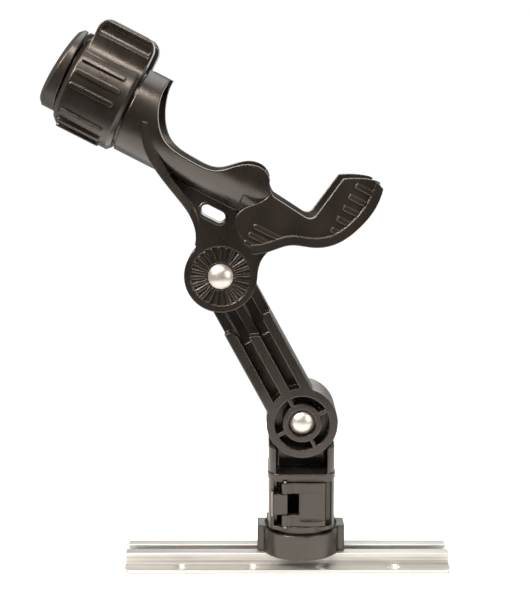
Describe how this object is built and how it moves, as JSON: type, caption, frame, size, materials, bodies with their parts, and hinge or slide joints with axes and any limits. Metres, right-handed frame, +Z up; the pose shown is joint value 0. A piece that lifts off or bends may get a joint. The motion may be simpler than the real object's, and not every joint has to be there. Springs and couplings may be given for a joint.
{
  "type": "rod holder",
  "caption": "Kayak rod holder with a split tube, locking collar and open fork on a tilting arm, swivel post and slotted aluminium track.",
  "frame": {"origin": "centre of the underside of the track, midway along its length", "axes": "+X along the track towards the fork side, +Z up, -Y towards the side the round bolt heads show on"},
  "size_m": [0.2473, 0.0796, 0.335],
  "materials": {
    "satin_aluminium": "clear anodised, satin",
    "black_nylon": "glass-filled nylon, satin moulded texture",
    "grey_nylon": "glass-filled nylon, satin",
    "stainless": "plain stainless steel",
    "spring_steel": "bright spring wire",
    "brass": "plain brass"
  },
  "bodies": {
    "track": {"track_rail": "satin_aluminium"},
    "base": {"base_socket": "black_nylon", "base_screws": "stainless", "track_nuts": "stainless", "swivel_bolt": "stainless", "swivel_nut": "stainless", "swivel_washer": "stainless"},
    "post": {"post_housing": "black_nylon", "latch_pin": "stainless", "latch_spring": "spring_steel"},
    "latch": {"latch_paddle": "grey_nylon"},
    "arm": {"arm": "black_nylon", "lower_bolt": "stainless"},
    "lower_clamp": {"lower_washer": "stainless"},
    "lower_knob": {"lower_knob": "black_nylon", "lower_insert": "brass"},
    "cradle": {"cradle": "black_nylon", "upper_bolt": "stainless", "end_cap": "grey_nylon"},
    "upper_clamp": {"upper_washer": "stainless"},
    "upper_knob": {"upper_knob": "black_nylon", "upper_insert": "brass"},
    "collar": {"collar": "black_nylon"}
  },
  "joints": [
    {"name": "base_slide", "type": "slide", "parent": "track", "child": "base", "axis": [1, 0, 0], "range_m": [-0.08, 0.064]},
    {"name": "post_swivel", "type": "hinge", "parent": "base", "child": "post", "pos_m": [0.0086, 0, 0.02], "axis": [0, 0, 1], "continuous": true},
    {"name": "latch_hinge", "type": "hinge", "parent": "post", "child": "latch", "pos_m": [-0.0016, -0.0204, 0.0443], "axis": [0, 0, 1], "range_deg": [-100, 0], "stiffness_Nm_per_rad": 0.02, "springref_deg": 20.05},
    {"name": "arm_tilt", "type": "hinge", "parent": "post", "child": "arm", "pos_m": [0.0088, 0, 0.0947], "axis": [0, 1, 0], "range_deg": [-32, 73]},
    {"name": "lower_clamp_slide", "type": "slide", "parent": "arm", "child": "lower_clamp", "axis": [0, 1, 0], "range_m": [0, 0.00195]},
    {"name": "lower_knob_turn", "type": "hinge", "parent": "lower_clamp", "child": "lower_knob", "pos_m": [0.0088, 0.02, 0.0947], "axis": [0, 1, 0], "range_deg": [0, 540]},
    {"name": "cradle_tilt", "type": "hinge", "parent": "arm", "child": "cradle", "pos_m": [-0.0405, 0, 0.18627], "axis": [0, 1, 0], "range_deg": [-75, 45]},
    {"name": "upper_clamp_slide", "type": "slide", "parent": "cradle", "child": "upper_clamp", "axis": [0, 1, 0], "range_m": [0, 0.00195]},
    {"name": "upper_knob_turn", "type": "hinge", "parent": "upper_clamp", "child": "upper_knob", "pos_m": [-0.0405, 0.005, 0.18627], "axis": [0, 1, 0], "range_deg": [0, 540]},
    {"name": "collar_turn", "type": "hinge", "parent": "cradle", "child": "collar", "pos_m": [-0.10864, -0.014, 0.29484], "axis": [0.891, 0, -0.454], "range_deg": [-100, 100]}
  ],
  "couplings": [
    {"joint": "lower_clamp_slide", "follows": "lower_knob_turn", "m_per_rad": 0.000202},
    {"joint": "upper_clamp_slide", "follows": "upper_knob_turn", "m_per_rad": 0.000202}
  ]
}
